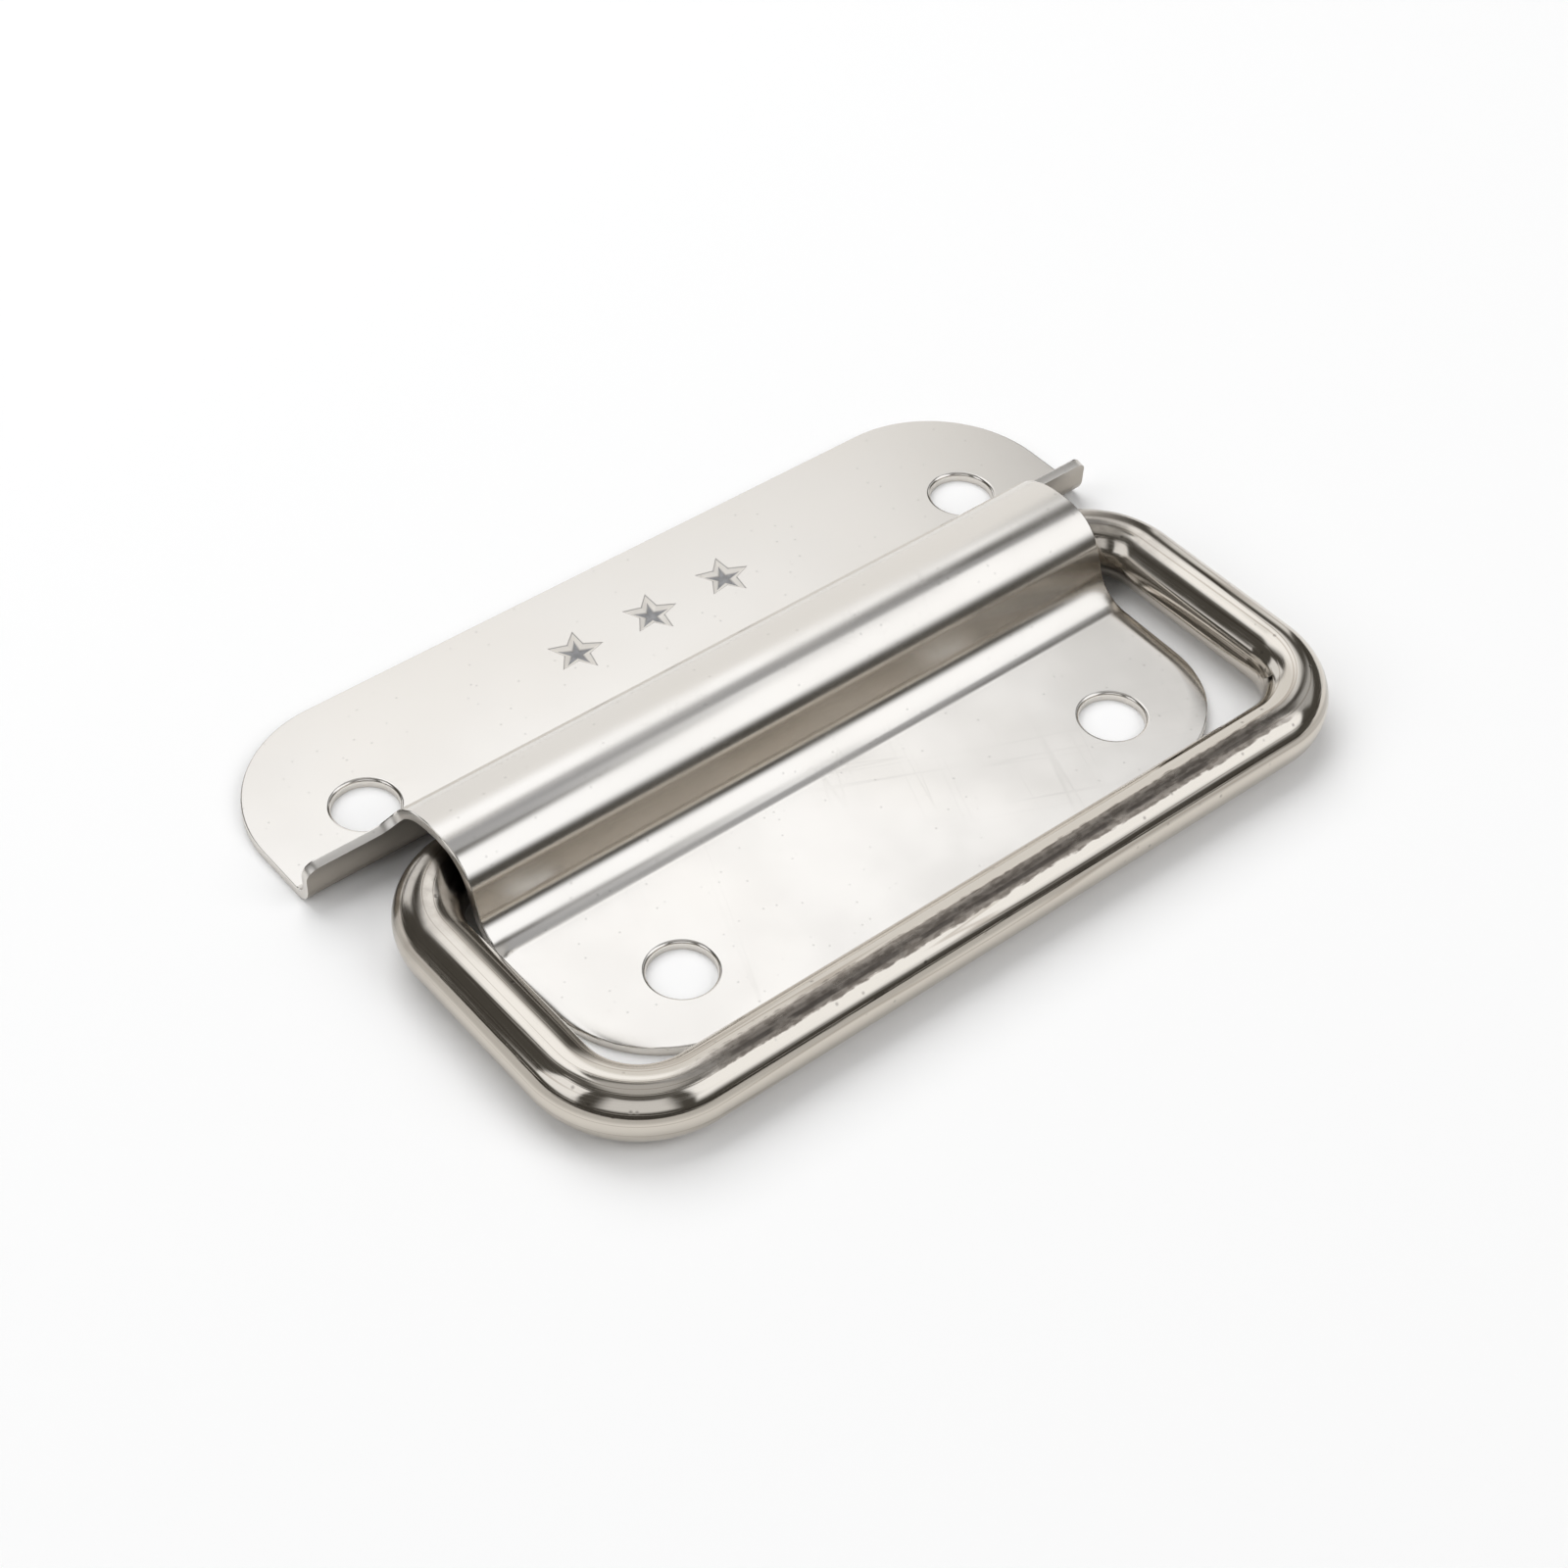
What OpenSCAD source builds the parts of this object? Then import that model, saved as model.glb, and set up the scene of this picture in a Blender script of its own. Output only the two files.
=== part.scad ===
// Chest handle: a stamped sheet plate with a half-round bead that traps a folding wire bail.
// X runs along the bead, +Y points to the back flange and +Z away from the chest.
// The origin lies midway between the two back screw holes, on the mounting plane.

/* [Sheet] */
// Thickness of the stamped sheet
sheet_t = 0.9; // [0.6:0.05:1.2]
// Radius inside the bend where the back flange turns up
bend_r = 1.1; // [0.4:0.1:1.4]

/* [Back flange] */
// Length of the back flange along the bead
back_w = 88.8; // [84:0.2:110]
// From the back screw line to the back edge
back_margin = 13; // [11:0.25:20]
// Radius of the two back corners
back_corner_r = 12.3; // [4:0.1:14]

/* [Front flange] */
// Width of the bead and of the front flange
front_w = 70.8; // [64:0.2:76]
// From the front screw line to the front edge
front_margin = 7.8; // [6:0.1:14]
// Radius of the two front corners
front_corner_r = 11.2; // [3:0.1:13]

/* [Screw holes] */
// Diameter of the screw holes
hole_d = 6; // [3.5:0.1:6.5]
// Rolled-over edge that the punch leaves round each hole
rim_r = 0.35; // [0.1:0.05:0.5]
// Distance between the back holes
back_pitch = 69; // [56:0.5:76]
// Distance between the front holes
front_pitch = 49; // [20:0.5:56]
// Distance between the two rows of holes
row_gap = 31.5; // [28:0.25:40]

/* [Bead] */
// From the back screw line to the inside of the bead's upright back wall
wall_y = 6.5; // [5:0.1:9]
// Outer radius of the bead's crown, along its crest
crown_r = 10; // [9:0.25:14]
// How far the crest's highest line lies behind the wire's axis
crown_shift = 0.35; // [0:0.05:0.6]
// Outer radius of the bead's back shoulder
back_shoulder_r = 5.5; // [3:0.1:6]
// Outer radius of the bead's front shoulder
front_shoulder_r = 4.7; // [3.5:0.1:5]
// Slope of the bead's front flank in degrees
flank_slope = 70; // [60:1:80]
// Upper radius of the foot between the flank and the front flange
foot_r = 3.6; // [1.5:0.1:4.5]

/* [Stop walls] */
// Height of the stop walls above the mounting plane
stop_h = 4.6; // [3.2:0.1:5]
// Radius of the outer top corner of a stop wall
stop_corner_r = 1.4; // [0.4:0.1:1.8]
// Radius between a stop wall and the end of the bead
stop_fillet_r = 2; // [0.5:0.1:2.5]

/* [Bail] */
// Diameter of the bail's wire
wire_d = 6; // [5:0.1:7]
// Centre-line radius of the bends beside the bead
bail_back_r = 7; // [6.5:0.1:8]
// Centre-line radius of the bends at the grip
bail_front_r = 7.8; // [6.5:0.1:14]
// Gap between the two butted ends of the wire, inside the bead
end_gap = 0.8; // [0.2:0.1:3]

/* [Clearances] */
// Gap between a side leg of the bail and the front flange
side_gap = 1.45; // [0.8:0.05:3]
// Gap between the grip and the front edge of the plate
front_gap = 1.1; // [0.6:0.05:6]
// Gap between the wire and the bead's back wall
back_play = 3.2; // [1.5:0.1:5]
// Gap between the bail's bends and the front flank at the ends of the bead
flank_gap = 0.4; // [0.3:0.05:1]
// Gap between the wire and the inside of the bead's crest
crest_gap = 1.4; // [0.8:0.05:2]
// Gap between the folded bail and the mounting plane
base_gap = 0.2; // [0.1:0.05:0.6]

/* [Stars] */
// Number of stamped stars
star_count = 3; // [0:1:5]
// Radius of a star, from its centre to its points
star_r = 2.75; // [1.5:0.05:3.5]
// Radius to the inner corners of a star
star_waist_r = 1.3; // [0.7:0.05:1.6]
// Distance between the stars
star_pitch = 8.55; // [7.2:0.05:12]
// From the back screw line to the row of stars
star_y = 4.5; // [3.6:0.1:9]
// Depth of a star below the sheet's face
star_depth = 0.4; // [0.1:0.05:0.45]
// Size of a star's flat floor as a share of its outline
star_floor = 0.5; // [0.2:0.05:0.9]

/* [Hidden] */
$fn = 96;
steel = [0.82, 0.81, 0.79];
bright = [0.72, 0.71, 0.69];
// Overrun of cutting shapes
over = 1;
// Depth by which neighbouring curves cross, so that they join into one skin
nick = 0.001;

wire_r = wire_d / 2;
// Height of the wire's axis, and of the bead's crest over it
pivot_z = base_gap + wire_r;
crest_h = base_gap + wire_d + crest_gap + sheet_t;
// Bead's back wall: outer face, and the axis of the wire in front of it
wall_back_y = sheet_t - wall_y;
pivot_y = -wall_y - back_play - wire_r;

// How far a bend's inner side comes forward at the end of the bead
inner_bend_r = bail_back_r - wire_r;
bend_creep = inner_bend_r - sqrt(pow(inner_bend_r, 2) - pow(max(inner_bend_r - side_gap, 0), 2));

// Bead's front, as far as its shoulder would reach if it ran on to the upright
flank_y = pivot_y - wire_r - bend_creep - flank_gap - sheet_t;
// Centres of the crown and of the two shoulders, which touch the crown's circle from inside
crown_c = [pivot_y + crown_shift, crest_h - crown_r];
back_lean = asin((wall_back_y - back_shoulder_r - crown_c.x) / (crown_r - back_shoulder_r));
front_lean = asin((crown_c.x - flank_y - front_shoulder_r) / (crown_r - front_shoulder_r));
back_c = crown_c + (crown_r - back_shoulder_r) * [sin(back_lean), cos(back_lean)];
front_c = crown_c + (crown_r - front_shoulder_r) * [-sin(front_lean), cos(front_lean)];
// Centre of the foot, at the lower end of the straight flank
flank_n = [-sin(flank_slope), cos(flank_slope)];
flank_fall = front_c.y + front_shoulder_r * flank_n.y - sheet_t - foot_r * (1 - flank_n.y);
foot_c = [front_c.x + (front_shoulder_r + foot_r) * flank_n.x - flank_fall / tan(flank_slope), sheet_t + foot_r];

front_screw_y = -row_gap;
front_edge_y = front_screw_y - front_margin;

// Centre lines of the bail, measured from the wire's axis
leg_x = front_w / 2 + side_gap + wire_r;
grip_y = front_edge_y - front_gap - wire_r - pivot_y;

// Area under the bead's skin, with the skin moved in by the given depth
module bead_form(depth) {
    back_r = back_shoulder_r - depth;
    front_r = front_shoulder_r - depth;
    foot_depth_r = foot_r + depth;
    bend_depth_r = bend_r + depth;
    wall_end = back_c.x + back_r - nick;
    flank_top = front_c + (front_r - nick) * flank_n;
    flank_end = foot_c - (foot_depth_r - nick) * flank_n;
    // shoulders, and the crown between them
    translate(back_c) circle(back_r);
    translate(front_c) circle(front_r);
    intersection() {
        translate(crown_c) circle(crown_r - depth);
        polygon([crown_c, crown_c + 2 * crown_r * [sin(back_lean), cos(back_lean)],
            crown_c + 2 * crown_r * [-sin(front_lean), cos(front_lean)]]);
    }
    // upright back wall, straight flank and the foot that runs out into the front flange
    difference() {
        polygon([back_c, front_c, flank_top, flank_end, foot_c, [foot_c.x, -over], [wall_end, -over], [wall_end, back_c.y]]);
        translate(foot_c - [0, nick]) circle(foot_depth_r);
    }
    // bend where the back flange turns up
    translate([wall_end - nick, sheet_t + bend_r - nick]) difference() {
        translate([-over, -sheet_t - bend_r - over]) square([bend_depth_r + over, sheet_t + bend_r + over]);
        translate([bend_depth_r, 0]) circle(bend_depth_r);
    }
}

// Section of the plate across the bead, drawn with Y to the right and Z up; it runs on below the
// mounting plane, where the elevation cuts it off
module plate_section() {
    difference() {
        union() {
            translate([front_edge_y, -over]) square([back_margin - front_edge_y, sheet_t + over]);
            bead_form(0);
        }
        bead_form(sheet_t);
    }
}

// Flat shape from y = 0 upwards, with its two far corners rounded
module round_tongue(width, length, corner_r) {
    translate([-width / 2, 0]) square([width, length - corner_r]);
    translate([corner_r - width / 2, 0]) square([width - 2 * corner_r, length]);
    for (side = [-1, 1])
        translate([side * (width / 2 - corner_r), length - corner_r]) circle(corner_r);
}

// Outline of the plate seen from above
module plate_outline() {
    ear_y = wall_y + stop_fillet_r;
    translate([0, -ear_y]) round_tongue(back_w, back_margin + ear_y, back_corner_r);
    mirror([0, 1]) round_tongue(front_w, -front_edge_y, front_corner_r);
}

// Outline of the plate seen from the front: the bead between its two stop walls
module plate_elevation() {
    round_tongue(back_w, stop_h, stop_corner_r);
    translate([-front_w / 2, 0]) square([front_w, crest_h + over]);
    for (side = [0, 1]) mirror([side, 0])
        translate([front_w / 2, stop_h]) difference() {
            square(stop_fillet_r);
            translate([stop_fillet_r, stop_fillet_r]) circle(stop_fillet_r);
        }
}

// Punched hole with a rolled-over upper edge
module screw_hole() {
    hole_r = hole_d / 2;
    rotate_extrude() {
        translate([0, -over]) square([hole_r, sheet_t + 2 * over]);
        translate([hole_r, sheet_t - rim_r]) difference() {
            square([rim_r, rim_r + over]);
            translate([rim_r, 0]) circle(rim_r);
        }
    }
}

// Five-pointed star pressed into the sheet, with sloping sides and a flat floor
module star_press() {
    points = [for (i = [0:9]) (i % 2 == 0 ? star_r : star_waist_r) * [cos(36 * i - 90), sin(36 * i - 90)]];
    mirror([0, 0, 1]) linear_extrude(star_depth, scale = star_floor) polygon(points);
    linear_extrude(over) polygon(points);
}

module mounting_plate() {
    length = back_margin - front_edge_y;
    color(steel) difference() {
        intersection() {
            translate([-back_w / 2, 0, 0]) rotate([90, 0, 90]) linear_extrude(back_w) plate_section();
            translate([0, back_margin + over, 0]) rotate([90, 0, 0])
                linear_extrude(length + 2 * over) plate_elevation();
            translate([0, 0, -over]) linear_extrude(crest_h + 2 * over) plate_outline();
        }
        for (side = [-1, 1]) {
            translate([side * back_pitch / 2, 0, 0]) screw_hole();
            translate([side * front_pitch / 2, front_screw_y, 0]) screw_hole();
        }
        for (i = [0:1:star_count - 1])
            translate([(i - (star_count - 1) / 2) * star_pitch, star_y, sheet_t]) star_press();
    }
}

// Straight length of wire along +X
module wire(length) {
    rotate([0, 90, 0]) cylinder(length, r = wire_r);
}

// Quarter bend of the wire about the present origin
module wire_bend(bend_radius, start) {
    rotate(start) rotate_extrude(angle = 90) translate([bend_radius, 0]) circle(wire_r);
}

module bail() {
    back_x = leg_x - bail_back_r;
    front_x = leg_x - bail_front_r;
    color(bright) translate([0, pivot_y, pivot_z]) {
        translate([-front_x, grip_y, 0]) wire(2 * front_x);
        for (side = [0, 1]) mirror([side, 0, 0]) {
            translate([end_gap / 2, 0, 0]) wire(back_x - end_gap / 2);
            translate([back_x, -bail_back_r, 0]) wire_bend(bail_back_r, 0);
            translate([leg_x, -bail_back_r, 0]) rotate(-90)
                wire(-bail_back_r - grip_y - bail_front_r);
            translate([front_x, grip_y + bail_front_r, 0]) wire_bend(bail_front_r, -90);
        }
    }
}

mounting_plate();
bail();
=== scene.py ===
# %% [markdown]
# # A chest handle in polished stainless steel
# The handle has two pieces: a stamped plate that is screwed to the chest, and a bail, which is a
# bent wire that swings in the plate's bead. This lesson makes both the way a workshop does. The
# plate starts as a flat blank and is folded, and the bail is a round wire that follows a path.

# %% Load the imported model
from math import asin, cos, pi, radians, sin, sqrt, tan

import bpy
import numpy as np
from mathutils import Matrix, Vector
from mathutils.geometry import delaunay_2d_cdt


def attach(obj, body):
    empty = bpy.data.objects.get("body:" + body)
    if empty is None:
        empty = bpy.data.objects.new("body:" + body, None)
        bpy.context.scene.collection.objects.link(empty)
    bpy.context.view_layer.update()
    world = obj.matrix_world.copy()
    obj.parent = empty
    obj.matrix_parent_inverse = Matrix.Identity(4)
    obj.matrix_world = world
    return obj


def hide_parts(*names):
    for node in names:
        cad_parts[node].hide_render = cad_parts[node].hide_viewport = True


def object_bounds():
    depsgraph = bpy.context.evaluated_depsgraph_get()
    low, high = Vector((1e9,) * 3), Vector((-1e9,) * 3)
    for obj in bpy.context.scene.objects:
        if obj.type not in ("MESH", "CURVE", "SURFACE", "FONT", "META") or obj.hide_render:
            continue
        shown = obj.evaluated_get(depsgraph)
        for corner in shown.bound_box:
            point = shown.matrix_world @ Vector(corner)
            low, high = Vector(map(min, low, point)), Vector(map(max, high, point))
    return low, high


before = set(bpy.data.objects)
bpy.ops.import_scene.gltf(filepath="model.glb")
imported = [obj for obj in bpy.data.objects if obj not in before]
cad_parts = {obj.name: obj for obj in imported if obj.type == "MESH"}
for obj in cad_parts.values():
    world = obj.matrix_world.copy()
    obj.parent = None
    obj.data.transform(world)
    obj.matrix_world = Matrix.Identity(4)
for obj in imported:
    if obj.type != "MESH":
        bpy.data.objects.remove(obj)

cad_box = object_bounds()
mm = 0.001
scene = bpy.context.scene
scene.view_settings.view_transform = "Standard"

# %% [markdown]
# ## Sizes
# These are the handle's own measures in millimetres, the same as in its drawing. Every later
# step takes them from here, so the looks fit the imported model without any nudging. Only the last
# cell is new: traces of the work that are too slight for the drawing. The shears roll each edge a
# little and draw down the sides of the front flange, and each blow of the punch is turned.

# %% Measures of the plate
sheet_t, bend_r = 0.9, 1.1
back_w, back_margin, back_corner_r = 88.8, 13.0, 12.3
front_w, front_margin, front_corner_r = 70.8, 7.8, 11.2
hole_r, rim_r = 3.0, 0.35
back_pitch, front_pitch, row_gap = 69.0, 49.0, 31.5
wall_y, back_shoulder_r, front_shoulder_r = 6.5, 5.5, 4.7
crown_r, crown_shift, flank_slope, foot_r = 10.0, 0.35, 70.0, 3.6
stop_h, stop_corner_r, stop_fillet_r = 4.6, 1.4, 2.0
star_count, star_r, star_waist_r, star_pitch, star_y = 3, 2.75, 1.3, 8.55, 4.5
star_depth, star_floor = 0.4, 0.5

# %% Measures of the bail, and what follows from the two together
wire_r, bail_back_r, bail_front_r, end_gap = 3.0, 7.0, 7.8, 0.8
side_gap, front_gap, back_play = 1.45, 1.1, 3.2
flank_gap, crest_gap, base_gap = 0.4, 1.4, 0.2

crest_h = base_gap + 2 * wire_r + crest_gap + sheet_t
pivot_y, pivot_z = -wall_y - back_play - wire_r, base_gap + wire_r
inner_bend_r = bail_back_r - wire_r
bend_creep = inner_bend_r - sqrt(inner_bend_r**2 - (inner_bend_r - side_gap) ** 2)
flank_y = pivot_y - wire_r - bend_creep - flank_gap - sheet_t
front_edge_y = -row_gap - front_margin
leg_x, grip_y = front_w / 2 + side_gap + wire_r, front_edge_y - front_gap - wire_r
print(f"crest {crest_h:.1f} mm high, grip centre line at y {grip_y:.1f} mm")

# %% Traces of the work
edge_roll, side_roll_w, side_roll_h = 0.15, 1.7, 0.42
side_roll_start, side_roll_stop, side_roll_end = 5.0, 9.0, 1.5
star_slant, star_slant_step = 9.0, -2.5
print(f"the flange's sides are drawn down by {side_roll_h} mm over {side_roll_w} mm")

# %% [markdown]
# ## Camera
# The photograph looks down on the handle from its front left with a short telephoto lens. A
# camera's matrix holds its right, up and back directions as columns, so they are worked out from
# the two viewing angles and then rolled a little, as the photographer held it.

# %% Camera at the photograph's viewing angle
azimuth, elevation, roll = radians(-41.28), radians(45.37), radians(2.63)
target, distance, lens = Vector((-3.75, -19.45, 0)) * mm, 252.5 * mm, 66.1

away = Vector((sin(azimuth) * cos(elevation), -cos(azimuth) * cos(elevation), sin(elevation)))
level = Vector((cos(azimuth), sin(azimuth), 0))
over = away.cross(level)
right = level * cos(roll) + over * sin(roll)
up = over * cos(roll) - level * sin(roll)

camera_data = bpy.data.cameras.new("camera")
camera_data.lens, camera_data.sensor_width, camera_data.clip_start = lens, 36, 10 * mm
camera = bpy.data.objects.new("camera", camera_data)
scene.collection.objects.link(camera)
turn = Matrix((right, up, away)).transposed().to_4x4()
camera.matrix_world = Matrix.Translation(target + away * distance) @ turn
scene.camera = camera
print("camera", [round(v, 4) for v in camera.location])

# %% [markdown]
# ## Node helpers
# Shaders and geometry are both trees of nodes. Small helpers keep the cells below short: they add
# a node with its settings, do arithmetic, carry a value from one range to another, start a
# geometry tree, run it on a mesh, and turn that mesh into a smoothly shaded object.

# %% Helpers for node trees
def add(tree, kind, inputs=None, **settings):
    """A new node with its settings; inputs maps a socket to a value or to another output."""
    node = tree.nodes.new(kind)
    for key, value in settings.items():
        setattr(node, key, value)
    for key, value in (inputs or {}).items():
        if isinstance(value, bpy.types.NodeSocket):
            tree.links.new(value, node.inputs[key])
        else:
            node.inputs[key].default_value = value
    return node


def calc(tree, operation, *values):
    """Output of a Math node on these values, which are numbers or other outputs."""
    return add(tree, "ShaderNodeMath", dict(enumerate(values)), operation=operation).outputs[0]


def ramp(tree, value, start, end, low=0.0, high=1.0):
    """Value carried smoothly from low at start to high at end."""
    inputs = {"Value": value, "From Min": start, "From Max": end, "To Min": low, "To Max": high}
    return add(tree, "ShaderNodeMapRange", inputs, interpolation_type="SMOOTHSTEP").outputs[0]


def geometry_tree(name, **inputs):
    """A geometry tree with these named inputs; returns it with its input and output nodes."""
    tree = bpy.data.node_groups.new(name, "GeometryNodeTree")
    face = tree.interface
    face.new_socket("Geometry", in_out="INPUT", socket_type="NodeSocketGeometry")
    face.new_socket("Geometry", in_out="OUTPUT", socket_type="NodeSocketGeometry")
    for key, kind in inputs.items():
        face.new_socket(key.replace("_", " "), in_out="INPUT", socket_type="NodeSocket" + kind)
    return tree, tree.nodes.new("NodeGroupInput"), tree.nodes.new("NodeGroupOutput")


def grow(tree, source, name, **values):
    """Runs the tree on the source mesh with these input values, and returns a plain mesh."""
    maker = bpy.data.objects.new(name + "_maker", source)
    scene.collection.objects.link(maker)
    modifier = maker.modifiers.new(name, "NODES")
    modifier.node_group = tree
    for item in tree.interface.items_tree:
        if item.in_out == "INPUT" and item.name.replace(" ", "_") in values:
            modifier[item.identifier] = values[item.name.replace(" ", "_")]
    graph = bpy.context.evaluated_depsgraph_get()
    mesh = bpy.data.meshes.new_from_object(maker.evaluated_get(graph))
    bpy.data.objects.remove(maker)
    mesh.name = name
    return mesh


# %% Helper for polished meshes
def polished(mesh, crease):
    """An object with this mesh, shaded smooth up to the crease angle."""
    mesh.polygons.foreach_set("use_smooth", [True] * len(mesh.polygons))
    mesh.set_sharp_from_angle(angle=radians(crease))
    piece = bpy.data.objects.new(mesh.name, mesh)
    scene.collection.objects.link(piece)
    return piece


# %% [markdown]
# ## What polished steel shows up close
# Both pieces are stainless steel that was polished and then handled. Up close it has tiny pits,
# hairline scratches and a skin that isn't quite flat. Each of these is a shader node group with
# its own inputs, built once and placed in both finishes with other values. Image textures could
# do it too, but procedural noise has no seams and stays sharp at any distance.

# %% Shader groups for pits, hairlines and unevenness
def shader_group(name, outputs, **inputs):
    """A shader group with these outputs and named number inputs, after a Vector input."""
    group = bpy.data.node_groups.new(name, "ShaderNodeTree")
    group.interface.new_socket("Vector", in_out="INPUT", socket_type="NodeSocketVector")
    for key, value in inputs.items():
        socket = group.interface.new_socket(key, in_out="INPUT", socket_type="NodeSocketFloat")
        socket.default_value = value
    for key in outputs:
        group.interface.new_socket(key, in_out="OUTPUT", socket_type="NodeSocketFloat")
    given, result = group.nodes.new("NodeGroupInput"), group.nodes.new("NodeGroupOutput")
    return group, given.outputs, result.inputs


pits, given, result = shader_group("pits", ["Mask"], Scale=600.0, Size=0.1, Share=0.2)
cells = add(pits, "ShaderNodeTexVoronoi", {"Vector": given["Vector"], "Scale": given["Scale"]})
chance = add(pits, "ShaderNodeSeparateColor", {0: cells.outputs["Color"]}).outputs[0]
lucky = calc(pits, "LESS_THAN", chance, given["Share"])
dot = ramp(pits, cells.outputs["Distance"], given["Size"], 0.0)
pits.links.new(calc(pits, "MULTIPLY", dot, lucky), result["Mask"])

hairlines, given, result = shader_group(
    "hairlines", ["Mask"], Scale=300.0, Stretch=40.0, Width=0.02)
split = add(hairlines, "ShaderNodeSeparateXYZ", {0: given["Vector"]}).outputs
long_x = calc(hairlines, "DIVIDE", split[0], given["Stretch"])
drawn = add(hairlines, "ShaderNodeCombineXYZ", {0: long_x, 1: split[1], 2: split[2]}).outputs[0]
streak = add(hairlines, "ShaderNodeTexNoise",
             {"Vector": drawn, "Scale": given["Scale"], "Detail": 1.0})
off_line = calc(hairlines, "ABSOLUTE", calc(hairlines, "SUBTRACT", streak.outputs[0], 0.5))
hairlines.links.new(ramp(hairlines, off_line, given["Width"], 0.0), result["Mask"])

unevenness, given, result = shader_group(
    "unevenness", ["Height", "Patches"], Scale=100.0, Contrast=0.2)
swell = add(unevenness, "ShaderNodeTexNoise",
            {"Vector": given["Vector"], "Scale": given["Scale"], "Detail": 3.0})
unevenness.links.new(swell.outputs[0], result["Height"])
low = calc(unevenness, "SUBTRACT", 0.5, given["Contrast"])
high = calc(unevenness, "ADD", 0.5, given["Contrast"])
unevenness.links.new(ramp(unevenness, swell.outputs[0], low, high), result["Patches"])
print("shader groups", [g.name for g in (pits, hairlines, unevenness)])

# %% [markdown]
# ## Sheet finish
# The plate is bright rolled sheet: close to a mirror, with faint clouds, hairlines in two
# directions, pits and a few warm smudges. Its sheared edges are rougher, and its underside is dull
# and painted dark brown as shade. The pressed stars are grey, with dark lines of painted shade
# round their floors and along their outlines. The mesh carries these places as attributes, which
# the shader reads, so the finish follows the metal wherever it is bent. Separate materials per face
# could do it too, but they can't fade along a painted line.

# %% Sheet finish
def place(tree, group, vector, **values):
    """A shader group in the tree, fed with the vector and these values; returns its outputs."""
    node = add(tree, "ShaderNodeGroup", node_tree=group)
    tree.links.new(vector, node.inputs["Vector"])
    for key, value in values.items():
        node.inputs[key].default_value = value
    return node.outputs


skin = {"Strength": 0.35, "Distance": 0.02 * mm}


def finish(name):
    """A metallic material; returns it with its tree, its shader and its Object coordinates."""
    material = bpy.data.materials.new(name)
    material.use_nodes = True
    tree = material.node_tree
    shader = tree.nodes["Principled BSDF"]
    shader.inputs["Metallic"].default_value = 1.0
    return material, tree, shader, add(tree, "ShaderNodeTexCoord").outputs["Object"]


def mark(tree, name):
    """The mesh attribute of this name, as a value."""
    return add(tree, "ShaderNodeAttribute", attribute_name=name).outputs["Fac"]


def tint(tree, mask, colour_off, colour_on):
    """A colour that turns from one to the other with the mask; each may be an output or a value."""
    node = add(tree, "ShaderNodeMix", {0: mask}, data_type="RGBA")
    for key, value in ((6, colour_off), (7, colour_on)):
        if isinstance(value, bpy.types.NodeSocket):
            tree.links.new(value, node.inputs[key])
        else:
            node.inputs[key].default_value = (*value, 1)
    return node.outputs[2]


def turned(tree, vector, degrees):
    """The vector turned about Z, so that a second set of hairlines runs another way."""
    turn = {"Vector": vector, "Rotation": (0, 0, radians(degrees))}
    return add(tree, "ShaderNodeMapping", turn).outputs[0]


sheet_steel, smudged, pitted = (0.735, 0.704, 0.660), (0.72, 0.665, 0.59), (0.34, 0.31, 0.28)
# painted shade: the underside colour darkens the inside of the bead, and the dark star line colour
# darkens the creases and edges of the stars
underside_shade, star_line_shade = (0.30, 0.265, 0.22), (0.12, 0.12, 0.125)
star_dark, star_pale = (0.20, 0.20, 0.205), (0.30, 0.30, 0.305)
sheet_finish, tree, shader, here = finish("polished_sheet")
clouds = place(tree, unevenness, here, Scale=90.0, Contrast=0.22)
smudges = place(tree, unevenness, here, Scale=38.0, Contrast=0.12)
specks = place(tree, pits, here, Scale=900.0, Size=0.17, Share=0.55)["Mask"]
one_way = place(
    tree, hairlines, turned(tree, here, 24), Scale=420.0, Stretch=60.0, Width=0.006)["Mask"]
other_way = place(
    tree, hairlines, turned(tree, here, -68), Scale=300.0, Stretch=45.0, Width=0.005)["Mask"]
scratches = calc(tree, "MULTIPLY", calc(tree, "MAXIMUM", one_way, other_way), smudges["Patches"])
sheared, inner, depth = (mark(tree, name) for name in ("sheared", "inner_face", "punch_depth"))
pressed, struck = (mark(tree, name) for name in ("pressed", "struck"))

colour = tint(tree, calc(tree, "MULTIPLY", smudges["Patches"], 0.16), sheet_steel, smudged)
colour = tint(tree, calc(tree, "MULTIPLY", specks, 0.32), colour, pitted)
# painted shade: the sheet's underside, seen inside the bead, is tinted dark brown where shade
# falls; its dullness is the roughness below
colour = tint(tree, calc(tree, "MULTIPLY", inner, 0.75), colour, underside_shade)
# painted shade: in a star a dark line round the floor and a thin one along the outline stand in for
# the shade in its creases and on the shadow side of its edges
dents = place(tree, unevenness, here, Scale=1500.0, Contrast=0.25)["Patches"]
outline_shade = calc(tree, "MULTIPLY", ramp(tree, depth, 0.0, 0.05), ramp(tree, depth, 0.22, 0.10))
floor_edge_shade = ramp(tree, depth, 0.62, 0.95)
star_shade_lines = calc(tree, "MAXIMUM", floor_edge_shade, calc(tree, "MULTIPLY", outline_shade, 0.7))
colour = tint(tree, calc(tree, "MULTIPLY", star_shade_lines, 0.8), colour, star_line_shade)
colour = tint(tree, struck, colour, tint(tree, dents, star_dark, star_pale))
tree.links.new(calc(tree, "MULTIPLY_ADD", pressed, -0.75, 1.0), shader.inputs["Metallic"])
tree.links.new(colour, shader.inputs["Base Color"])

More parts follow.
